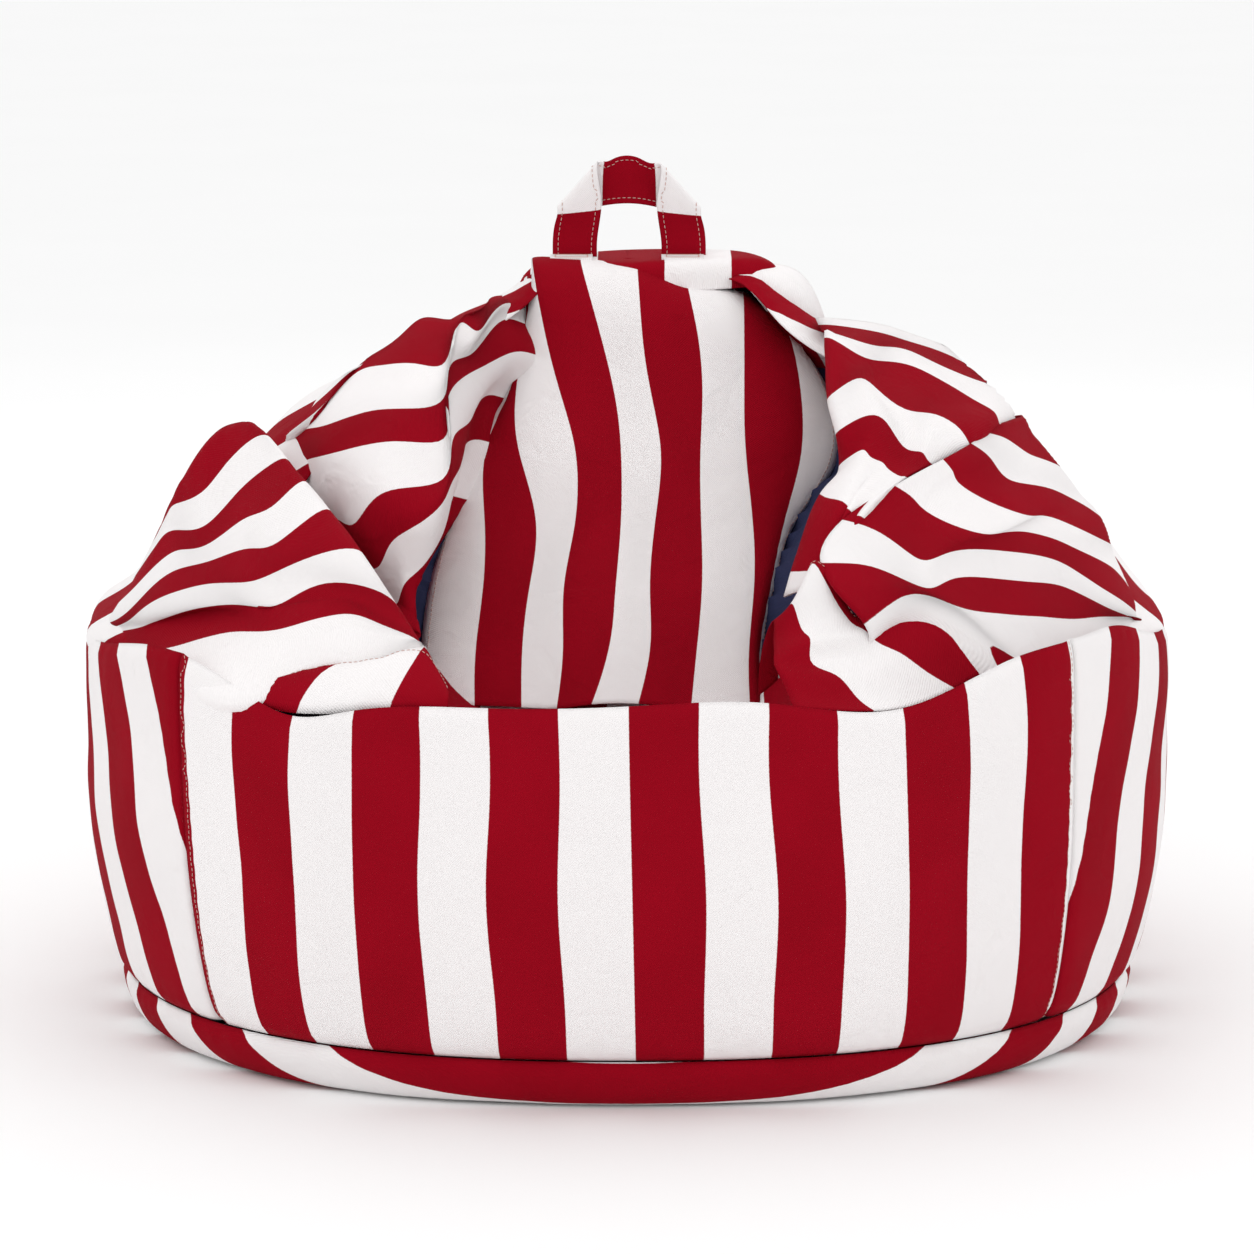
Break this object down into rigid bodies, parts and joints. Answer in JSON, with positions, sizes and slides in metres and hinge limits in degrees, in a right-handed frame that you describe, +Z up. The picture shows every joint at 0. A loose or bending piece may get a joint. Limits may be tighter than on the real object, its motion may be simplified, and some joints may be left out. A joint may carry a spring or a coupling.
{
  "type": "bean bag chair",
  "caption": "Slumped round bean bag chair with raised arms and back, a pressed-in seat, a sewn carry handle and a zipped, striped fabric cover.",
  "frame": {"origin": "on the floor, under the middle of the whole object", "axes": "+X to the right seen from the front, front towards -Y, +Z up"},
  "size_m": [0.95, 0.9077, 0.7356],
  "materials": {
    "cover_cotton": "woven cotton twill in wide crimson and white stripes",
    "handle_strap": "self-fabric strap, folded and topstitched",
    "sewing_thread": "matt polyester thread",
    "zip_tape": "woven polyester tape",
    "zip_teeth": "moulded, semi-matt",
    "zip_metal": "die-cast, satin",
    "liner_cloth": "plain navy lining",
    "foam_beads": "loose expanded foam beads"
  },
  "bodies": {
    "bag": {"base_panel": "cover_cotton", "front_wall_panel": "cover_cotton", "left_wall_panel": "cover_cotton", "right_wall_panel": "cover_cotton", "rear_left_wall_panel": "cover_cotton", "rear_right_wall_panel": "cover_cotton", "left_arm_panel": "cover_cotton", "right_arm_panel": "cover_cotton", "left_shoulder_panel": "cover_cotton", "right_shoulder_panel": "cover_cotton", "rear_top_panel": "cover_cotton", "backrest_panel": "cover_cotton", "seat_panel": "cover_cotton", "handle_left_foot": "handle_strap", "handle_right_foot": "handle_strap", "handle_left_tack": "sewing_thread", "handle_right_tack": "sewing_thread", "zip_left_tape": "zip_tape", "zip_right_tape": "zip_tape", "zip_left_teeth": "zip_teeth", "zip_right_teeth": "zip_teeth", "zip_bottom_stop": "zip_metal", "zip_top_stop": "zip_metal", "inner_liner": "liner_cloth", "liner_zip_left_tape": "zip_tape", "liner_zip_right_tape": "zip_tape", "liner_zip_left_teeth": "zip_teeth", "liner_zip_right_teeth": "zip_teeth", "liner_zip_bottom_stop": "zip_metal", "liner_zip_top_stop": "zip_metal", "bead_fill": "foam_beads"},
    "carry_handle": {"handle_loop": "handle_strap"},
    "slider": {"zip_slider": "zip_metal"},
    "pull_tab": {"zip_pull": "zip_metal"},
    "liner_slider": {"liner_zip_slider": "zip_metal"}
  },
  "joints": [
    {"name": "handle_flop", "type": "hinge", "parent": "bag", "child": "carry_handle", "pos_m": [0, 0.127, 0.6475], "axis": [1, 0, 0], "range_deg": [-75, 75]},
    {"name": "zip_slide", "type": "slide", "parent": "bag", "child": "slider", "axis": [0, 0, 1], "range_m": [-0.229, 0]},
    {"name": "pull_swing", "type": "hinge", "parent": "slider", "child": "pull_tab", "pos_m": [0, 0.4551, 0.3216], "axis": [1, 0, 0], "range_deg": [0, 150]},
    {"name": "liner_zip_slide", "type": "slide", "parent": "bag", "child": "liner_slider", "axis": [1, 0, 0], "range_m": [-0.399, 0]}
  ]
}
